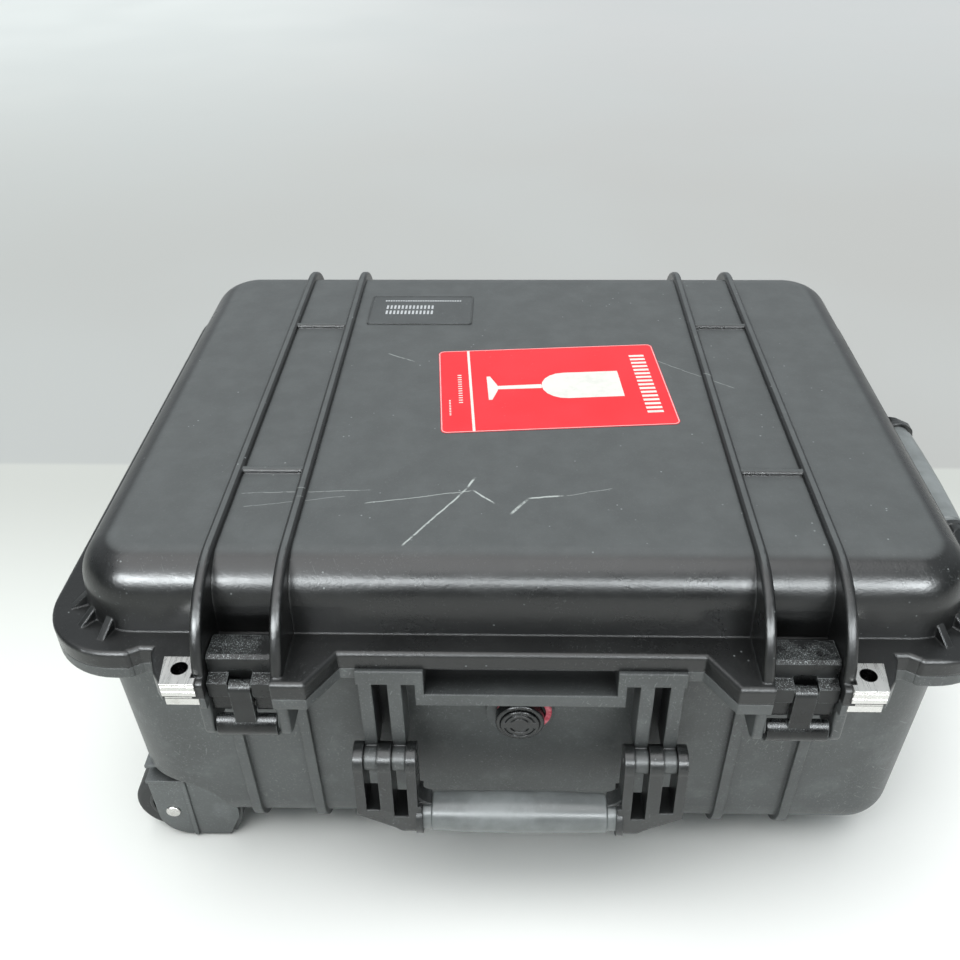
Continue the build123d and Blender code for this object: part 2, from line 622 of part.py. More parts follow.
def wheel_housing():
    """The hood that carries the axle: two side plates joined by a curved roof."""
    hood = rod_y(WELL_R - 0.2, (-178, -143), AXLE_X, AXLE_Z) - rod_y(WELL_R - 3, (-180, -140), AXLE_X, AXLE_Z)
    hood &= block((-251, -190), (-185, -140), (34, 80)) + block((-205, -190), (-185, -140), (3, 80))
    swing = ThreePointArc((-232, 2.5), (-244.5, 9), (-250, 22))
    plate_edge = Polyline((-250, 22), (-251, 63), (-225, 63))
    arch = ThreePointArc((-225, 71.3), (-203.6, 56.5), (-194, 22))
    rest = Polyline((-194, 22), (-203, 2.5), (-232, 2.5))
    face = make_face(swing + plate_edge + Line((-225, 63), (-225, 71.3)) + arch + rest)
    outer = extrude(Plane.XZ * face, 3.0)
    outer = Pos(0, -178.0, 0) * outer
    inner = Pos(0, -143.0, 0) * extrude(Plane.XZ * face, 3.0)
    lip = block((-251, -225), (-183, -178), (61, 63.5))
    ridge = block((-228, -225), (-182.2, -178), (2.5, 61.5))
    shelf = block((-251, -200), (-181, -143), (61, 63.5))
    shelf &= rod_y(WELL_R - 0.5, (-182, -142), AXLE_X, AXLE_Z)
    shelf -= rod_y(WHEEL_R + 2, (-180, -145), AXLE_X, AXLE_Z)
    housing = hood + outer + inner + lip + ridge + shelf
    housing -= rod_y(AXLE_R + SEAT_GAP, (-185, -140), AXLE_X, AXLE_Z)
    for x, y in housing_screw_places():
        if y < 0:
            housing -= rod_z(2.0 + SEAT_GAP, (40, 80), x, y)
    return housing


def housing_screw_places():
    """The (X, Y) of the vertical screws that hold the two wheel housings."""
    return [(-236.0, side * y) for side in (-1, 1) for y in (150.0, 170.0)]


def wheel_housing_screws():
    screws = None
    for x, y in housing_screw_places():
        screw = rod_z(2.0, (70, 78), x, y) + rod_z(3.6, (68.8, 71.2), x, y)
        screws = screw if screws is None else screws + screw
    return screws


def to_back(solid):
    """The same wheel piece at the back corner."""
    return mirror(solid, Plane.XZ)


def trolley_screw_places():
    """The (X, Y) of the screws that hold the trolley's clamp and bracket."""
    return [(x, y) for x in (-195.0, 201.0) for y in (-30.0, 30.0)]


def screw_group(places, radius, low, high):
    """Vertical cylinders at the given places."""
    group = None
    for x, y in places:
        one = rod_z(radius, (low, high), x, y)
        group = one if group is None else group + one
    return group


def trolley_screws():
    places = trolley_screw_places()
    shanks = screw_group(places, 2.0, 6, BASE_BOTTOM_Z + 2.5)
    return shanks + screw_group(places, 4.0, 4, 6.5)


def tube_carrier(x, tube_end):
    """A block under the base that holds both outer tubes."""
    carrier = block(x, (-TUBE_Y - 15, TUBE_Y + 15), (2.5, BASE_BOTTOM_Z))
    carrier = fillet(carrier.edges().filter_by(Axis.Z), 6)
    carrier -= block((x[0] - 1, x[1] + 1), (-18, 18), (0, 12))
    for y in (-TUBE_Y, TUBE_Y):
        carrier -= rod_x(OUTER_TUBE_R + SEAT_GAP, (tube_end, x[1] + 1), y, TUBE_Z)
    places = [p for p in trolley_screw_places() if x[0] < p[0] < x[1]]
    carrier -= screw_group(places, 2.0 + SEAT_GAP, 0, BASE_BOTTOM_Z + 1)
    return carrier - screw_group(places, 4.0 + SEAT_GAP, 0, 6.5)


def trolley_tube(y, x, radius, bore):
    return rod_x(radius, x, y, TUBE_Z) - rod_x(bore, (x[0] - 1, x[1] + 1), y, TUBE_Z)


def trolley_grip():
    """The pull grip: a bar with a channel for the release, on two blocks that hold the tubes."""
    back, bar, front = GRIP_X
    half = TROLLEY_GRIP_HALF
    grip = block((back, front), (-half, half), GRIP_Z)
    grip = fillet(grip.edges().filter_by(Axis.Z), 9)
    grip = fillet(grip.faces().sort_by(Axis.Z)[-1].edges() + grip.faces().sort_by(Axis.Z)[0].edges(), 2.5)
    grip -= block((back - 1, bar), (-46, 46), (0, 40))
    channel = (bar + 1.5, front - 3)
    grip -= block(channel, (-64, 64), (8, 18))
    grip -= block((front - 5, front + 1), (-14.3, 14.3), (8, 18))
    for y in (-TUBE_Y, TUBE_Y):
        grip -= rod_x(INNER_TUBE_R + SEAT_GAP, (back - 1, INNER_TUBE_X[1]), y, TUBE_Z)
        grip -= rod_x(ROD_R + 0.5, (back, bar + 4), y, TUBE_Z)
    return grip


def trolley_button():
    """The release button in the outer face of the grip."""
    front = GRIP_X[2]
    button = block((front - 4.8, front + 2.5), (-14, 14), (8.4, 17.6))
    return fillet(button.edges().sort_by(Axis.X)[-4:], 1.2)


def trolley_push_rods():
    """A cross bar behind the button with a rod down each inner tube."""
    x = (GRIP_X[2] - 7.0, GRIP_X[2] - 4.8)
    rods = block(x, (-TUBE_Y - 3, TUBE_Y + 3), (9, 15))
    for y in (-TUBE_Y, TUBE_Y):
        rods += rod_x(ROD_R, (-150, x[1]), y, TUBE_Z)
    return rods


def thin_plate(size, corner, centre, turn, thickness):
    """A thin plate that lies on the lid."""
    face = Pos(centre[0], centre[1], LID_TOP_Z) * Rot(0, 0, turn) * RectangleRounded(*size, corner)
    return extrude(face, thickness)


def save(name, solid):
    export_step(solid, f"parts/{name}.step")


def save_latch(name, x):
    """The claw, lever and two pins of one latch."""
    save(f"latch_{name}_claw", latch_claw(x))
    save(f"latch_{name}_lever", latch_lever(x))
    save(f"latch_{name}_swing_pin", rod_x(CLAW_PIN_R, (x - 20.5, x + 20.5), *CLAW_PIVOT))
    save(f"latch_{name}_lever_pin", rod_x(LEVER_PIN_R, (x - 13.5, x + 13.5), *LEVER_PIVOT))


def save_handle(name, place, pins):
    """The frame, grip and two pins of one carrying handle."""
    save(f"{name}_frame", place(handle_frame()))
    save(f"{name}_grip", place(handle_grip()))
    for side, pin in zip((-1, 1), pins):
        save(f"{name}_{pin}", place(handle_pin(side)))


def save_wheel(name, place):
    """The five pieces of one wheel."""
    save(f"wheel_{name}_tyre", place(wheel_tyre()))
    save(f"wheel_{name}_hub", place(wheel_hub()))
    save(f"wheel_{name}_bearings", place(wheel_bearings()))
    save(f"wheel_{name}_axle", place(wheel_axle()))
    save(f"wheel_{name}_housing", place(wheel_housing()))


save("base_shell", base_shell())
save("lid_shell", lid_shell())
gasket_z = (PARTING_Z + 0.05, PARTING_Z + PARTING_GAP + GROOVE_DEPTH - 0.1)
save("lid_gasket", gasket_ring(GROOVE_WIDTH - 0.3, gasket_z))
save("nameplate", thin_plate(NAMEPLATE_SIZE, 3, NAMEPLATE_CENTRE, 0, 0.6))
save("handling_label", thin_plate(LABEL_SIZE, 4, LABEL_CENTRE, LABEL_TURN, 0.3))

for side_name, side in (("left", -1), ("right", 1)):
    centre_x = side * STATION_X
    pin_x = (centre_x - HINGE_PIN_HALF, centre_x + HINGE_PIN_HALF)
    save(f"hinge_pin_{side_name}", rod_x(HINGE_PIN_R, pin_x, HINGE_Y, PARTING_Z))
    save_latch(side_name, centre_x)
    save(f"padlock_plate_lid_{side_name}", on_side(padlock_plate_lid(), side))
    save(f"padlock_plate_base_{side_name}", on_side(padlock_plate_base(), side))

save_handle("front_handle", lambda solid: solid, ("pin_left", "pin_right"))
save_handle("side_handle", lambda solid: to_side(raised(solid)), ("pin_front", "pin_back"))

save("purge_valve_body", valve_body())
save("purge_valve_knob", valve_knob())
save("purge_valve_seal_ring", valve_seal_ring())
save("purge_valve_nut", valve_nut())

save_wheel("front", lambda solid: solid)
save_wheel("back", to_back)
save("wheel_housing_screws", wheel_housing_screws())

for side_name, y in (("front", -TUBE_Y), ("back", TUBE_Y)):
    save(f"trolley_outer_tube_{side_name}", trolley_tube(y, OUTER_TUBE_X, OUTER_TUBE_R, OUTER_BORE_R))
    save(f"trolley_inner_tube_{side_name}", trolley_tube(y, INNER_TUBE_X, INNER_TUBE_R, INNER_BORE_R))
save("trolley_grip", trolley_grip())
save("trolley_button", trolley_button())
save("trolley_push_rods", trolley_push_rods())
save("trolley_tube_clamp", tube_carrier(CLAMP_X, OUTER_TUBE_X[0]))
save("trolley_end_bracket", tube_carrier(END_BRACKET_X, END_BRACKET_X[0] - 1))
save("trolley_screws", trolley_screws())
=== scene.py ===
import json
import math

import bmesh
import bpy
from mathutils import Matrix, Vector


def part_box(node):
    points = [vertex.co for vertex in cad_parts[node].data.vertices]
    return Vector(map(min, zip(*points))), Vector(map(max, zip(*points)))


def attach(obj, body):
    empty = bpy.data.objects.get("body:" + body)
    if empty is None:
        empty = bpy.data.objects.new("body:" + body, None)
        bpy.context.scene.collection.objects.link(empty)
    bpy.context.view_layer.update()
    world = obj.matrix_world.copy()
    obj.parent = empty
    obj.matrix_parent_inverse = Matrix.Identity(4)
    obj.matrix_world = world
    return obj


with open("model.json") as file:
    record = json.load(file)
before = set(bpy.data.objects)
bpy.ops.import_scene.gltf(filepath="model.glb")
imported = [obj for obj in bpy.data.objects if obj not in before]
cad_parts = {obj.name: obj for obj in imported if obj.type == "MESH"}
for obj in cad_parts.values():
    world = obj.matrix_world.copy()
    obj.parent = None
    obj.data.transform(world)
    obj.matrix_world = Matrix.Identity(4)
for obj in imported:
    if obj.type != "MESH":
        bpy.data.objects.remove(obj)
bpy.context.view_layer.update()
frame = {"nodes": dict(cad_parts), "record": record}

nodes = frame["nodes"]
scene = bpy.context.scene

MM = 0.001
DUST_AND_SHEEN_HEIGHT = 0.25
HAIR_WIDTH = 1.2 * MM
SCRATCH_WAVER = 1.5 * MM
PADLOCK_X = 0.1865
PADLOCK_Y = -0.2235
HOLE_SHADOW = 4.6 * MM
PLATE_FRONT_Y = -0.228
PLATE_FOLDS = (0.2052, 0.2091)


# ---------------------------------------------------------------- node helpers


class Shader:
    """A node material with a Principled surface, and short calls for adding nodes to it."""

    def __init__(self, name):
        self.material = bpy.data.materials.new(name)
        self.material.use_nodes = True
        self.tree = self.material.node_tree
        self.tree.nodes.clear()
        self.output = self.add("ShaderNodeOutputMaterial")
        self.surface = self.add("ShaderNodeBsdfPrincipled")
        self.tree.links.new(self.surface.outputs[0], self.output.inputs[0])
        self.coords = self.add("ShaderNodeTexCoord")

    def add(self, kind, **settings):
        node = self.tree.nodes.new(kind)
        for key, value in settings.items():
            setattr(node, key, value)
        return node

    def feed(self, socket, value):
        """Links a socket, or sets it when the value is a number or a colour."""
        if isinstance(value, bpy.types.NodeSocket):
            self.tree.links.new(value, socket)
        else:
            socket.default_value = value

    def stretched(self, scale):
        """Object coordinates, scaled along each axis."""
        node = self.add("ShaderNodeMapping")
        self.feed(node.inputs["Vector"], self.coords.outputs["Object"])
        node.inputs["Scale"].default_value = scale
        return node.outputs[0]

    def noise(self, scale, detail=2.0, rough=0.5, vector=None):
        node = self.add("ShaderNodeTexNoise")
        self.feed(node.inputs["Vector"], vector or self.coords.outputs["Object"])
        node.inputs["Scale"].default_value = scale
        node.inputs["Detail"].default_value = detail
        node.inputs["Roughness"].default_value = rough
        return node.outputs["Fac"]

    def cells(self, scale):
        """Distance to the nearest of many scattered points."""
        node = self.add("ShaderNodeTexVoronoi")
        self.feed(node.inputs["Vector"], self.coords.outputs["Object"])
        node.inputs["Scale"].default_value = scale
        return node.outputs["Distance"]

    def ramp(self, value, low, high, out_low=0.0, out_high=1.0):
        """A clamped, smooth ramp from one range of values to another."""
        node = self.add("ShaderNodeMapRange", interpolation_type="SMOOTHSTEP")
        self.feed(node.inputs["Value"], value)
        node.inputs["From Min"].default_value = low
        node.inputs["From Max"].default_value = high
        node.inputs["To Min"].default_value = out_low
        node.inputs["To Max"].default_value = out_high
        return node.outputs[0]

    def math(self, operation, first, second=0.0):
        node = self.add("ShaderNodeMath", operation=operation)
        self.feed(node.inputs[0], first)
        self.feed(node.inputs[1], second)
        return node.outputs[0]

    def mix(self, factor, first, second):
        """A blend of two colours."""
        node = self.add("ShaderNodeMix", data_type="RGBA")
        self.feed(node.inputs["Factor"], factor)
        self.feed(node.inputs["A"], first)
        self.feed(node.inputs["B"], second)
        return node.outputs["Result"]

    def position(self):
        """The place in the case's own frame, in metres, split into X, Y and Z."""
        split = self.add("ShaderNodeSeparateXYZ")
        self.feed(split.inputs[0], self.coords.outputs["Object"])
        return split

    def facing_up(self, low=0.93, high=0.995):
        """1 where the surface faces up, as dust and rubbing find it, and where the lid top's painted sheen
        goes.
        """
        split = self.add("ShaderNodeSeparateXYZ")
        self.feed(split.inputs[0], self.coords.outputs["Normal"])
        return self.ramp(split.outputs["Z"], low, high)

    def edges(self, radius):
        """1 along edges, where the rounded normal leaves the face's own."""
        bevel = self.add("ShaderNodeBevel", samples=4)
        bevel.inputs["Radius"].default_value = radius
        geometry = self.add("ShaderNodeNewGeometry")
        dot = self.add("ShaderNodeVectorMath", operation="DOT_PRODUCT")
        self.feed(dot.inputs[0], bevel.outputs[0])
        self.feed(dot.inputs[1], geometry.outputs["Normal"])
        return self.ramp(self.math("SUBTRACT", 1.0, dot.outputs["Value"]), 0.02, 0.25)

    def streaks(self, turn, length, threshold):
        """Thin random scratches along one direction, about the given length in metres."""
        node = self.add("ShaderNodeMapping", vector_type="TEXTURE")
        self.feed(node.inputs["Vector"], self.coords.outputs["Object"])
        node.inputs["Rotation"].default_value = turn
        node.inputs["Scale"].default_value = (length, HAIR_WIDTH, HAIR_WIDTH)
        value = self.noise(1.0, 1.0, 0.4, node.outputs[0])
        return self.ramp(value, threshold, threshold + 0.06)

    def bump(self, height, strength, distance, normal=None):
        node = self.add("ShaderNodeBump")
        self.feed(node.inputs["Height"], height)
        node.inputs["Strength"].default_value = strength
        node.inputs["Distance"].default_value = distance
        if normal is not None:
            self.feed(node.inputs["Normal"], normal)
        return node.outputs[0]

    def soft_edges(self, radius):
        """The normal with edges rounded to the given radius."""
        bevel = self.add("ShaderNodeBevel", samples=4)
        bevel.inputs["Radius"].default_value = radius
        return bevel.outputs[0]

    def painted_recess_shade(self, reach):
        """Painted shade: 0 deep in a hollow, where little light reaches, and 1 in the open."""
        node = self.add("ShaderNodeAmbientOcclusion", samples=6)
        node.inputs["Distance"].default_value = reach
        return self.ramp(node.outputs["AO"], 0.12, 0.74)

    def scratch(self, start, end, width):
        """1 along one drawn scratch on a face seen in plan, from start to end in metres."""
        a, b = Vector(start), Vector(end)
        length = (b - a).length
        angle = math.atan2(b.y - a.y, b.x - a.x)
        local = self.add("ShaderNodeVectorRotate", rotation_type="Z_AXIS")
        self.feed(local.inputs["Vector"], self.coords.outputs["Object"])
        local.inputs["Center"].default_value = (a.x, a.y, 0)
        local.inputs["Angle"].default_value = -angle
        split = self.add("ShaderNodeSeparateXYZ")
        self.feed(split.inputs[0], local.outputs[0])
        along = self.math("SUBTRACT", split.outputs["X"], a.x)
        sway = self.math("SUBTRACT", self.noise(60.0, 3.0, 0.6), 0.5)
        sway = self.math("MULTIPLY", sway, SCRATCH_WAVER * 2)
        across = self.math("ADD", self.math("SUBTRACT", split.outputs["Y"], a.y), sway)
        line = self.ramp(self.math("ABSOLUTE", across), width * 0.75, width * 0.2)
        begun = self.ramp(along, -width, width * 2)
        ended = self.ramp(along, length, length - width * 4)
        broken = self.ramp(self.noise(240.0, 3.0, 0.6), 0.30, 0.52, 0.25, 1.0)
        drawn = self.math("MULTIPLY", begun, ended)
        return self.math("MULTIPLY", self.math("MULTIPLY", line, broken), drawn)

    def finish(self, color, roughness, normal, **constants):
        self.feed(self.surface.inputs["Base Color"], color)
        self.feed(self.surface.inputs["Roughness"], roughness)
        self.feed(self.surface.inputs["Normal"], normal)
        for name, value in constants.items():
            self.surface.inputs[name].default_value = value
        return self.material


def grey(value, tint=1.03):
    """A dark neutral with a slight blue-green cast."""
    return (value * 0.92, value * 1.0, value * tint * 0.97, 1.0)


# ---------------------------------------------------------------- materials


def moulded(name, tone, rough, grain=700.0, grain_depth=0.10, wear=0.5, speckle=0.3, edge=1.1 * MM,
            dust_and_sheen=None, mottle=0.0, extra=None):
    """Moulded plastic: fine texture, cloudy wear, hair scratches, specks, rubbed edges and painted shade
    in hollows.

    The dust and sheen pair is the (tone, roughness) of faces above the dust and sheen height that look up:
    greyed partly by dust and rubbing, and partly by painted sheen, the top's reflection of the bright wall
    put into its colour.
    """
    s = Shader(name)
    cloud = s.noise(9.0, 7.0, 0.68)
    patch = s.noise(46.0, 5.0, 0.62)
    grit = s.noise(620.0, 3.0, 0.7)
    color = s.mix(s.ramp(cloud, 0.36, 0.68), grey(tone * 0.80), grey(tone * 1.20))
    cloudy = s.math("MULTIPLY", s.ramp(patch, 0.50, 0.72), 0.45 * wear)
    color = s.mix(cloudy, color, grey(tone * 1.9 + 0.01))
    gritty = s.math("MULTIPLY", s.ramp(grit, 0.55, 0.72), 0.45 * wear)
    color = s.mix(gritty, color, grey(tone * 2.4 + 0.01))
    roughness = s.ramp(cloud, 0.3, 0.7, rough - 0.05, rough + 0.07)
    # Painted sheen: faces high on the case that look up are lighter, partly from dust and rubbing and
    # partly from sheen painted into the colour.
    if dust_and_sheen is not None:
        top_tone, top_rough = dust_and_sheen
        high = s.ramp(s.position().outputs["Z"], DUST_AND_SHEEN_HEIGHT - 10 * MM, DUST_AND_SHEEN_HEIGHT)
        up = s.math("MULTIPLY", s.facing_up(), high)
        worn_and_sheen_top = s.mix(s.ramp(patch, 0.34, 0.72), grey(top_tone * 0.90), grey(top_tone * 1.10))
        grains = s.math("MULTIPLY", s.ramp(grit, 0.56, 0.72), 0.35)
        worn_and_sheen_top = s.mix(grains, worn_and_sheen_top, grey(top_tone * 1.6))
        color = s.mix(up, color, worn_and_sheen_top)
        roughness = s.math("ADD", roughness, s.math("MULTIPLY", up, top_rough - rough))
    hairs = s.streaks((0.4, 0.7, 0.5), 0.05, 0.69)
    for turn in ((1.1, -0.6, 2.1), (-0.5, 0.3, 1.2), (0.2, 1.9, -0.7)):
        hairs = s.math("MAXIMUM", hairs, s.streaks(turn, 0.035, 0.70))
    hairs = s.math("MULTIPLY", hairs, s.ramp(s.noise(21.0, 3.0, 0.6), 0.44, 0.60))
    color = s.mix(s.math("MULTIPLY", hairs, 0.50 * wear), color, grey(tone * 2.0 + 0.10))
    specks = s.ramp(s.cells(150.0), 0.11, 0.06)
    specks = s.math("MULTIPLY", specks, s.ramp(s.noise(33.0, 2.0, 0.5), 0.55, 0.62))
    color = s.mix(s.math("MULTIPLY", specks, speckle), color, grey(0.38))
    rubbed = s.math("MULTIPLY", s.edges(1.6 * MM), s.ramp(s.noise(70.0, 4.0, 0.65), 0.42, 0.66))
    color = s.mix(s.math("MULTIPLY", rubbed, 0.50 * wear), color, grey(0.26))
    if extra is not None:
        color = extra(s, color)
    # Painted shade: hollows, creases and faces tucked under other parts are darkened in the colour itself.
    color = s.mix(s.painted_recess_shade(0.050), grey(tone * 0.12), color)
    fine = s.noise(grain, 2.0, 0.55)
    broad = s.noise(grain * 0.28, 3.0, 0.6)
    height = s.math("ADD", s.math("MULTIPLY", fine, 0.7), s.math("MULTIPLY", broad, 0.5 + mottle))
    height = s.math("SUBTRACT", height, s.math("MULTIPLY", hairs, 0.25 * wear))
    normal = s.bump(height, 1.0, grain_depth * MM, s.soft_edges(edge))
    return s.finish(color, roughness, normal)


def lid_marks(s, color):
    """The lid's own long scratches and scuffs, drawn on its top: ends, width and strength of each."""
    marks = (
        ((-0.067, -0.169), (-0.0322, -0.1148), 0.0011, 0.75),
        ((-0.0322, -0.1148), (-0.0270, -0.1040), 0.0013, 0.9),
        ((-0.0930, -0.1310), (-0.0290, -0.1180), 0.0007, 0.55),
        ((-0.0290, -0.1180), (-0.0150, -0.1310), 0.0010, 0.8),
        ((-0.0060, -0.1400), (0.0045, -0.1250), 0.0016, 0.85),
        ((0.0045, -0.1250), (0.0270, -0.1225), 0.0012, 0.8),
        ((-0.1690, -0.1220), (-0.0900, -0.1180), 0.0006, 0.35),
        ((-0.1650, -0.1350), (-0.1050, -0.1240), 0.0005, 0.3),
        ((0.0270, -0.1225), (0.0560, -0.1150), 0.0006, 0.35),
        ((0.0950, 0.0420), (0.1500, 0.0000), 0.0006, 0.35),
        ((-0.0980, 0.0480), (-0.0760, 0.0360), 0.0010, 0.4),
    )
    up = s.facing_up(0.6, 0.9)
    for start, end, width, strength in marks:
        line = s.math("MULTIPLY", s.scratch((*start, 0), (*end, 0), width), up)
        color = s.mix(s.math("MULTIPLY", line, strength), color, grey(0.55, 0.98))
    return color


def rubber(name, tone, rough):
    """Soft moulded rubber: satin, faintly mottled, with polished patches where hands rub."""
    s = Shader(name)
    cloud = s.noise(38.0, 5.0, 0.6)
    color = s.mix(s.ramp(cloud, 0.35, 0.7), grey(tone * 0.85), grey(tone * 1.25))
    dust = s.math("MULTIPLY", s.ramp(s.noise(260.0, 3.0, 0.7), 0.60, 0.75), 0.25)
    color = s.mix(dust, color, grey(0.3))
    roughness = s.ramp(cloud, 0.3, 0.7, rough - 0.06, rough + 0.08)
    normal = s.bump(s.noise(1300.0, 2.0, 0.5), 1.0, 0.05 * MM, s.soft_edges(0.8 * MM))
    return s.finish(color, roughness, normal)


def speckled_latch():
    """Glass-filled latch plastic: dark, with a pale sparkle where it has been rubbed."""
    s = Shader("latch_plastic")
    grit = s.noise(1500.0, 3.0, 0.7)
    patch = s.noise(60.0, 4.0, 0.6)
    color = s.mix(s.ramp(patch, 0.4, 0.7), grey(0.006), grey(0.018))
    sparkle = s.math("MULTIPLY", s.ramp(grit, 0.54, 0.66), s.ramp(patch, 0.36, 0.58))
    sparkle = s.math("MULTIPLY", sparkle, s.facing_up(0.25, 0.8))
    color = s.mix(s.math("MULTIPLY", sparkle, 0.75), color, grey(0.50))
    rubbed = s.math("MULTIPLY", s.edges(1.2 * MM), s.ramp(s.noise(160.0, 4.0, 0.7), 0.42, 0.6))
    color = s.mix(s.math("MULTIPLY", rubbed, 0.6), color, grey(0.40))
    roughness = s.ramp(patch, 0.3, 0.7, 0.22, 0.38)
    normal = s.bump(grit, 1.0, 0.06 * MM, s.soft_edges(0.9 * MM))
    return s.finish(color, roughness, normal, **{"Specular IOR Level": 0.32})


def padlock_shadow(s):
    """1 inside the padlock holes and in the folds across the plates' fronts."""
    split = s.position()
    across = s.math("SUBTRACT", s.math("ABSOLUTE", split.outputs["X"]), PADLOCK_X)
    depth = s.math("SUBTRACT", split.outputs["Y"], PADLOCK_Y)
    squared = s.math("ADD", s.math("MULTIPLY", across, across), s.math("MULTIPLY", depth, depth))
    shadow = s.ramp(s.math("SQRT", squared), HOLE_SHADOW + 0.3 * MM, HOLE_SHADOW)
    front = s.ramp(split.outputs["Y"], PLATE_FRONT_Y + 2 * MM, PLATE_FRONT_Y)
    for fold in PLATE_FOLDS:
        gap = s.math("ABSOLUTE", s.math("SUBTRACT", split.outputs["Z"], fold))
        shadow = s.math("MAXIMUM", shadow, s.math("MULTIPLY", front, s.ramp(gap, 0.6 * MM, 0.3 * MM)))
    return shadow


def steel(name, tone, rough, brushed=(1, 1, 1)):
    """Stamped or turned steel with brushing, small pits and dull patches."""
    s = Shader(name)
    brush = s.noise(700.0, 3.0, 0.6, s.stretched(brushed))
    stain = s.noise(150.0, 5.0, 0.65)
    bright = (tone, tone * 0.985, tone * 0.95, 1)
    stained = (tone * 0.85, tone * 0.83, tone * 0.79, 1)
    color = s.mix(s.ramp(stain, 0.5, 0.75), bright, stained)
    color = s.mix(padlock_shadow(s), color, (0.012, 0.012, 0.013, 1))
    roughness = s.ramp(brush, 0.3, 0.7, rough - 0.07, rough + 0.09)
    normal = s.bump(brush, 1.0, 0.02 * MM, s.soft_edges(0.4 * MM))
    return s.finish(color, roughness, normal, Metallic=1.0)


def label_red():
    """Printed vinyl: saturated red with faint rubbing and a soft gloss."""
    s = Shader("label_vinyl")
    cloud = s.noise(30.0, 5.0, 0.6)
    color = s.mix(s.ramp(cloud, 0.35, 0.7), (0.74, 0.009, 0.018, 1), (0.77, 0.016, 0.027, 1))
    scuffs = s.ramp(s.noise(520.0, 3.0, 0.7), 0.66, 0.74)
    worn = s.ramp(s.noise(13.0, 2.0, 0.5), 0.50, 0.66)
    color = s.mix(s.math("MULTIPLY", s.math("MULTIPLY", scuffs, worn), 0.30), color, (0.93, 0.55, 0.52, 1))
    roughness = s.ramp(cloud, 0.3, 0.7, 0.40, 0.52)
    normal = s.bump(s.noise(400.0, 2.0, 0.5), 1.0, 0.02 * MM)
    return s.finish(color, roughness, normal)


def label_ink(name, color_value, rough=0.5):
    """Pale printed ink, a little uneven."""
    s = Shader(name)
    blotch = s.noise(90.0, 5.0, 0.65)
    faded = tuple(c * 0.88 for c in color_value)
    color = s.mix(s.ramp(blotch, 0.45, 0.72), (*color_value, 1), (*faded, 1))
    roughness = s.ramp(blotch, 0.3, 0.7, rough - 0.05, rough + 0.08)
    normal = s.bump(s.noise(700.0, 2.0, 0.5), 1.0, 0.01 * MM)
    return s.finish(color, roughness, normal)


def red_seal():
    """Soft red rubber, slightly translucent-looking and dusty."""
    s = Shader("seal_rubber")
    cloud = s.noise(220.0, 4.0, 0.6)
    color = s.mix(s.ramp(cloud, 0.4, 0.7), (0.60, 0.02, 0.06, 1), (0.86, 0.22, 0.27, 1))
    roughness = s.ramp(cloud, 0.3, 0.7, 0.32, 0.5)
    normal = s.bump(s.noise(900.0, 2.0, 0.5), 1.0, 0.05 * MM, s.soft_edges(0.5 * MM))
    return s.finish(color, roughness, normal)


def anodised():
    s = Shader("tube_aluminium")
    draw = s.noise(500.0, 3.0, 0.6, s.stretched((0.05, 1, 1)))
    color = s.mix(s.ramp(draw, 0.35, 0.7), (0.50, 0.51, 0.52, 1), (0.62, 0.62, 0.63, 1))
    roughness = s.ramp(draw, 0.3, 0.7, 0.26, 0.42)
    normal = s.bump(draw, 1.0, 0.015 * MM, s.soft_edges(0.3 * MM))
    return s.finish(color, roughness, normal, Metallic=1.0)


materials = {
    "lid_plastic": moulded("lid_plastic", 0.006, 0.30, wear=0.55, speckle=0.5, dust_and_sheen=(0.078, 0.56),
                           edge=1.8 * MM, mottle=0.6, extra=lid_marks),
    "base_plastic": moulded("base_plastic", 0.080, 0.42, wear=0.9, speckle=0.35, edge=1.6 * MM),
    "housing_plastic": moulded("housing_plastic", 0.150, 0.46, wear=0.7, speckle=0.3),
    "handle_plastic": moulded("handle_plastic", 0.022, 0.30, wear=0.7, speckle=0.4, edge=1.6 * MM),
    "trolley_plastic": moulded("trolley_plastic", 0.025, 0.40, wear=0.7, speckle=0.3),
    "hub_plastic": moulded("hub_plastic", 0.030, 0.42, wear=0.6, speckle=0.3),
    "plate_plastic": moulded("plate_plastic", 0.060, 0.32, grain=1800.0, grain_depth=0.02, wear=0.4,
                             speckle=0.2),
    "valve_plastic": moulded("valve_plastic", 0.010, 0.22, grain=1500.0, grain_depth=0.03, wear=0.6,
                             speckle=0.3),
    "latch_plastic": speckled_latch(),
    "grip_rubber": rubber("grip_rubber", 0.190, 0.34),
    "gasket_rubber": rubber("gasket_rubber", 0.020, 0.60),
    "wheel_tyre": rubber("wheel_tyre", 0.022, 0.62),
    "seal_rubber": red_seal(),
    "stainless_steel": steel("stainless_steel", 0.62, 0.30, (1, 0.08, 1)),
    "bearing_steel": steel("bearing_steel", 0.70, 0.20),
    "tube_aluminium": anodised(),
    "label_vinyl": label_red(),
}

for part in frame["record"]["subparts"]:
    mesh = nodes[part["node"]].data
    mesh.materials.clear()
    mesh.materials.append(materials[part["material_slot"]])


# ---------------------------------------------------------------- printed graphics on the lid

LABEL_TURN = math.radians(4.4)
LABEL_INK_LIFT = 0.02 * MM
PLATE_INK_LIFT = 0.01 * MM
INK_THICKNESS = 0.04 * MM
BORDER_THICKNESS = 0.2 * MM


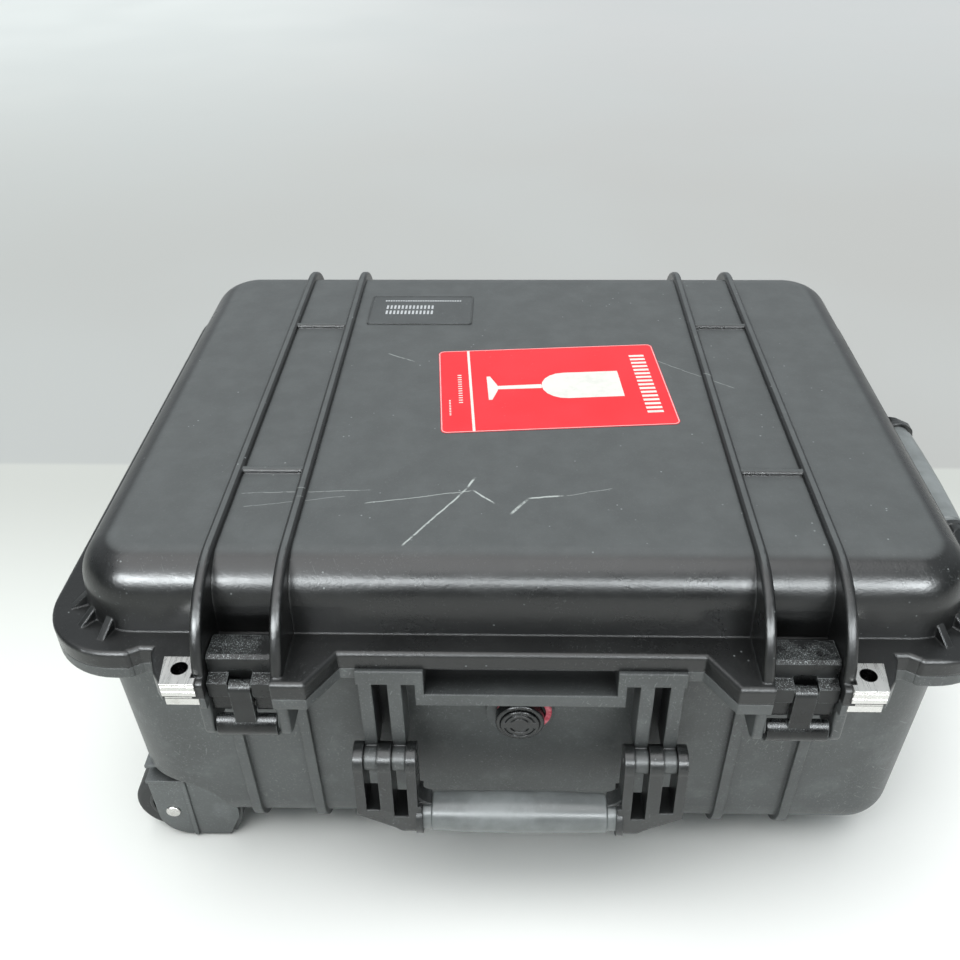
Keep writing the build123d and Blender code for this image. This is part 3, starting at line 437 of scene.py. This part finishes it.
def flat_piece(name, outlines, z, thickness, turn, centre, material):
    """Flat outlines, in millimetres about a centre, a hair above the surface that they are printed on."""
    bm = bmesh.new()
    for outline in outlines:
        corners = [bm.verts.new((x * MM, y * MM, 0)) for x, y in outline]
        face = bm.faces.new(corners)
        raised = bmesh.ops.extrude_face_region(bm, geom=[face])["geom"]
        for v in raised:
            if isinstance(v, bmesh.types.BMVert):
                v.co.z += thickness
    bmesh.ops.recalc_face_normals(bm, faces=bm.faces)
    mesh = bpy.data.meshes.new(name)
    bm.to_mesh(mesh)
    bm.free()
    mesh.transform(Matrix.Translation((centre.x, centre.y, z)) @ Matrix.Rotation(turn, 4, "Z"))
    mesh.materials.append(material)
    piece = bpy.data.objects.new(name, mesh)
    scene.collection.objects.link(piece)
    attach(piece, "lid")


def bar(x0, x1, y0, y1):
    return [(x0, y0), (x1, y0), (x1, y1), (x0, y1)]


def rounded_outline(half_x, half_y, radius, steps=6):
    """A rounded rectangle as a list of points."""
    points = []
    for quarter, (sx, sy) in enumerate(((1, 1), (-1, 1), (-1, -1), (1, -1))):
        for i in range(steps + 1):
            a = math.radians(90 * quarter + 90 * i / steps)
            points.append((sx * (half_x - radius) + radius * math.cos(a),
                           sy * (half_y - radius) + radius * math.sin(a)))
    return points


def ring_pieces(half_x, half_y, radius, width):
    """Quads that follow a rounded rectangle as a thin border."""
    outer = rounded_outline(half_x, half_y, radius)
    inner = rounded_outline(half_x - width, half_y - width, radius - width)
    count = len(outer)
    return [[outer[i], outer[(i + 1) % count], inner[(i + 1) % count], inner[i]] for i in range(count)]


def glass_outlines():
    """A plain wine glass lying on its side: foot, stem, and a bowl with a round end."""
    foot = [(-46, -15.5), (-43.5, -15.5), (-39, -3.2), (-39, 3.2), (-43.5, 15.5), (-46, 15.5)]
    stem = [(-39, -2.2), (-8, -2.6), (-8, 2.6), (-39, 2.2)]
    bowl = [(48, -17), (48, 17), (9, 17)]
    for i in range(1, 10):
        a = math.radians(90 + 18 * i)
        bowl.append((9 + 17 * math.cos(a), 17 * math.sin(a)))
    bowl.append((9, -17))
    return [foot, stem, bowl]


def label_graphics():
    """Generic print on the handling label: a glass, a rule, a border and plain bars for words."""
    low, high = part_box("handling_label")
    centre = (low + high) / 2
    white = label_ink("label_white_ink", (0.74, 0.74, 0.68))
    z = high.z + LABEL_INK_LIFT
    edge = label_ink("label_edge_ink", (0.93, 0.42, 0.42))

    def printed(name, outlines, ink):
        flat_piece(name, outlines, z, INK_THICKNESS, LABEL_TURN, centre, ink)

    printed("label_border", ring_pieces(79.2, 53.7, 4, 0.7), edge)
    printed("label_rule", [bar(-58.6, -56.8, -53, 53)], white)
    printed("label_glass", glass_outlines(), white)
    strokes = [bar(60, 71, v, v + 2.6) for v in range(-39, 39, 5)]
    printed("label_stroke_band", strokes, white)
    small = [bar(-66.6, -63.8, v, v + 1.1) for v in range(-18, 19, 3)]
    small += [bar(-73.4, -72.2, v, v + 1.0) for v in range(-33, -13, 2)]
    printed("label_small_strokes", small, white)


def nameplate_graphics():
    """A blank plate with a moulded border and three plain rules."""
    low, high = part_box("nameplate")
    centre = (low + high) / 2
    half_x, half_y = (high.x - low.x) / 2 / MM, (high.y - low.y) / 2 / MM
    border = ring_pieces(half_x - 0.4, half_y - 0.4, 2.6, 1.1)
    z = high.z + PLATE_INK_LIFT
    plastic = materials["plate_plastic"]
    flat_piece("nameplate_border", border, z, BORDER_THICKNESS, 0, centre, plastic)
    pale = label_ink("plate_pale_ink", (0.50, 0.52, 0.53), 0.35)
    rules = [bar(x, x + 1.3, 14.5, 16.6) for x in range(-30, 31, 2)]
    rules += [bar(x, x + 1.6, 1.5, 7.5) for x in range(-28, 10, 3)]
    rules += [bar(x, x + 1.6, -7.5, -1.5) for x in range(-28, 10, 3)]
    flat_piece("nameplate_rules", rules, z, INK_THICKNESS, 0, centre, pale)


label_graphics()
nameplate_graphics()


# ---------------------------------------------------------------- floor, light and camera

FLOOR_HALF = 6.0
WALL_LINE_Y = 0.260
CASE_MIDDLE = (0, -0.2, 0.25)
DAYLIGHT = (0.93, 0.98, 1.0)
CAMERA_PLACE = (-0.00519, -0.59041, 0.6254)
CAMERA_ANGLES = (-1.64, 35.24, 0.67)
LENS = 36.99
LENS_SHIFT = (-0.0099, -0.0315)


def stage_floor():
    """A pale table top, painted darker near its back edge and towards the left as painted shade. Beyond
    its back edge the same sheet carries the tone of the wall.
    """
    corners = [(x * FLOOR_HALF, y * FLOOR_HALF, 0) for x, y in ((-1, -1), (1, -1), (1, 1), (-1, 1))]
    mesh = bpy.data.meshes.new("floor")
    mesh.from_pydata(corners, [], [(0, 1, 2, 3)])
    floor = bpy.data.objects.new("floor", mesh)
    scene.collection.objects.link(floor)
    s = Shader("floor")
    split = s.position()
    beyond = s.ramp(split.outputs["Y"], WALL_LINE_Y, WALL_LINE_Y + 8 * MM)
    # Painted shade: the table darkens towards the wall line, where the wall shades it.
    near = s.ramp(split.outputs["Y"], 0.25, -0.10)
    height = s.ramp(split.outputs["Y"], 0.6, 2.6)
    side = s.ramp(split.outputs["X"], 0.4, -1.3)
    blotch = s.ramp(s.noise(1.7, 2.0, 0.5), 0.35, 0.65, 0.0, 0.25)
    # Painted shade: the table near the case is darker towards the left.
    left = s.ramp(split.outputs["X"], -0.05, -0.50)
    near_table = s.mix(left, (0.97, 0.98, 0.95, 1), (0.78, 0.80, 0.76, 1))
    table = s.mix(near, (0.50, 0.51, 0.48, 1), near_table)
    low_wall = s.mix(side, (0.415, 0.415, 0.40, 1), (0.42, 0.43, 0.415, 1))
    high_wall = s.mix(side, (0.49, 0.495, 0.49, 1), (0.62, 0.645, 0.63, 1))
    wall = s.mix(blotch, s.mix(height, low_wall, high_wall), (0.46, 0.485, 0.48, 1))
    color = s.mix(beyond, table, wall)
    normal = s.bump(s.noise(60.0, 3.0, 0.5), 0.2, 0.0002)
    roughness = s.ramp(s.noise(3.0), 0.3, 0.7, 0.55, 0.7)
    mesh.materials.append(s.finish(color, roughness, normal, **{"Specular IOR Level": 0.05}))


def area_light(name, location, target, size, power, color, only_shine=False):
    """A rectangular light aimed at a point. With only_shine it shows in highlights alone."""
    data = bpy.data.lights.new(name, "AREA")
    data.shape = "RECTANGLE"
    data.size, data.size_y = size
    data.energy = power
    data.color = color
    light = bpy.data.objects.new(name, data)
    light.location = location
    light.rotation_euler = (Vector(target) - Vector(location)).to_track_quat("-Z", "Y").to_euler()
    light.visible_diffuse = not only_shine
    scene.collection.objects.link(light)


def sun_light():
    """Daylight from a large skylight: soft, and even over the whole floor."""
    data = bpy.data.lights.new("skylight", "SUN")
    data.angle = math.radians(60)
    data.energy = 2.45
    light = bpy.data.objects.new("skylight", data)
    light.rotation_euler = Vector((0.12, 0.10, -1)).to_track_quat("-Z", "Y").to_euler()
    scene.collection.objects.link(light)


def world_light():
    """A room that is bright overhead and behind the case, and dim at eye level on the near side."""
    world = bpy.data.worlds.new("studio")
    world.use_nodes = True
    tree = world.node_tree
    background = tree.nodes["Background"]
    coords = tree.nodes.new("ShaderNodeTexCoord")
    split = tree.nodes.new("ShaderNodeSeparateXYZ")
    tree.links.new(coords.outputs["Generated"], split.inputs[0])
    level = tree.nodes.new("ShaderNodeMath")
    level.operation = "MULTIPLY_ADD"
    tree.links.new(split.outputs["Y"], level.inputs[0])
    level.inputs[1].default_value = 0.55
    tree.links.new(split.outputs["Z"], level.inputs[2])
    ramp = tree.nodes.new("ShaderNodeValToRGB")
    tree.links.new(level.outputs[0], ramp.inputs[0])
    ramp.color_ramp.elements[0].position = 0.02
    ramp.color_ramp.elements[0].color = (0.10, 0.115, 0.12, 1)
    ramp.color_ramp.elements[1].position = 0.62
    ramp.color_ramp.elements[1].color = (0.70, 0.745, 0.77, 1)
    tree.links.new(ramp.outputs[0], background.inputs["Color"])
    background.inputs["Strength"].default_value = 1.0
    scene.world = world


def photo_camera():
    """The camera stands in front of the case and above it, looking down at about 35 degrees."""
    yaw, pitch, roll = (math.radians(angle) for angle in CAMERA_ANGLES)
    reach = math.cos(pitch)
    forward = Vector((math.sin(yaw) * reach, math.cos(yaw) * reach, -math.sin(pitch)))
    level = Vector((math.cos(yaw), -math.sin(yaw), 0))
    down = forward.cross(level)
    right = level * math.cos(roll) + down * math.sin(roll)
    below = down * math.cos(roll) - level * math.sin(roll)
    data = bpy.data.cameras.new("camera")
    data.sensor_width = 36
    data.lens = LENS
    data.shift_x, data.shift_y = LENS_SHIFT
    data.clip_start = 0.01
    camera = bpy.data.objects.new("camera", data)
    rotation = Matrix((right, -below, -forward)).transposed().to_4x4()
    camera.matrix_world = Matrix.Translation(CAMERA_PLACE) @ rotation
    scene.collection.objects.link(camera)
    scene.camera = camera


stage_floor()
world_light()
sun_light()
area_light("window", (-0.85, -1.05, 1.50), (-0.15, -0.15, 0.2), (0.75, 0.35), 2, (0.95, 0.98, 1.0))
for light_name, place, size, power in (
        ("window_left", (-1.05, -1.90, 1.42), (1.0, 0.42), 85),
        ("window_right", (1.05, -1.90, 1.42), (0.9, 0.42), 62),
        ("window_middle", (0.0, -2.10, 1.55), (1.2, 0.35), 30)):
    area_light(light_name, place, CASE_MIDDLE, size, power, DAYLIGHT, only_shine=True)
photo_camera()
scene.view_settings.view_transform = "Standard"
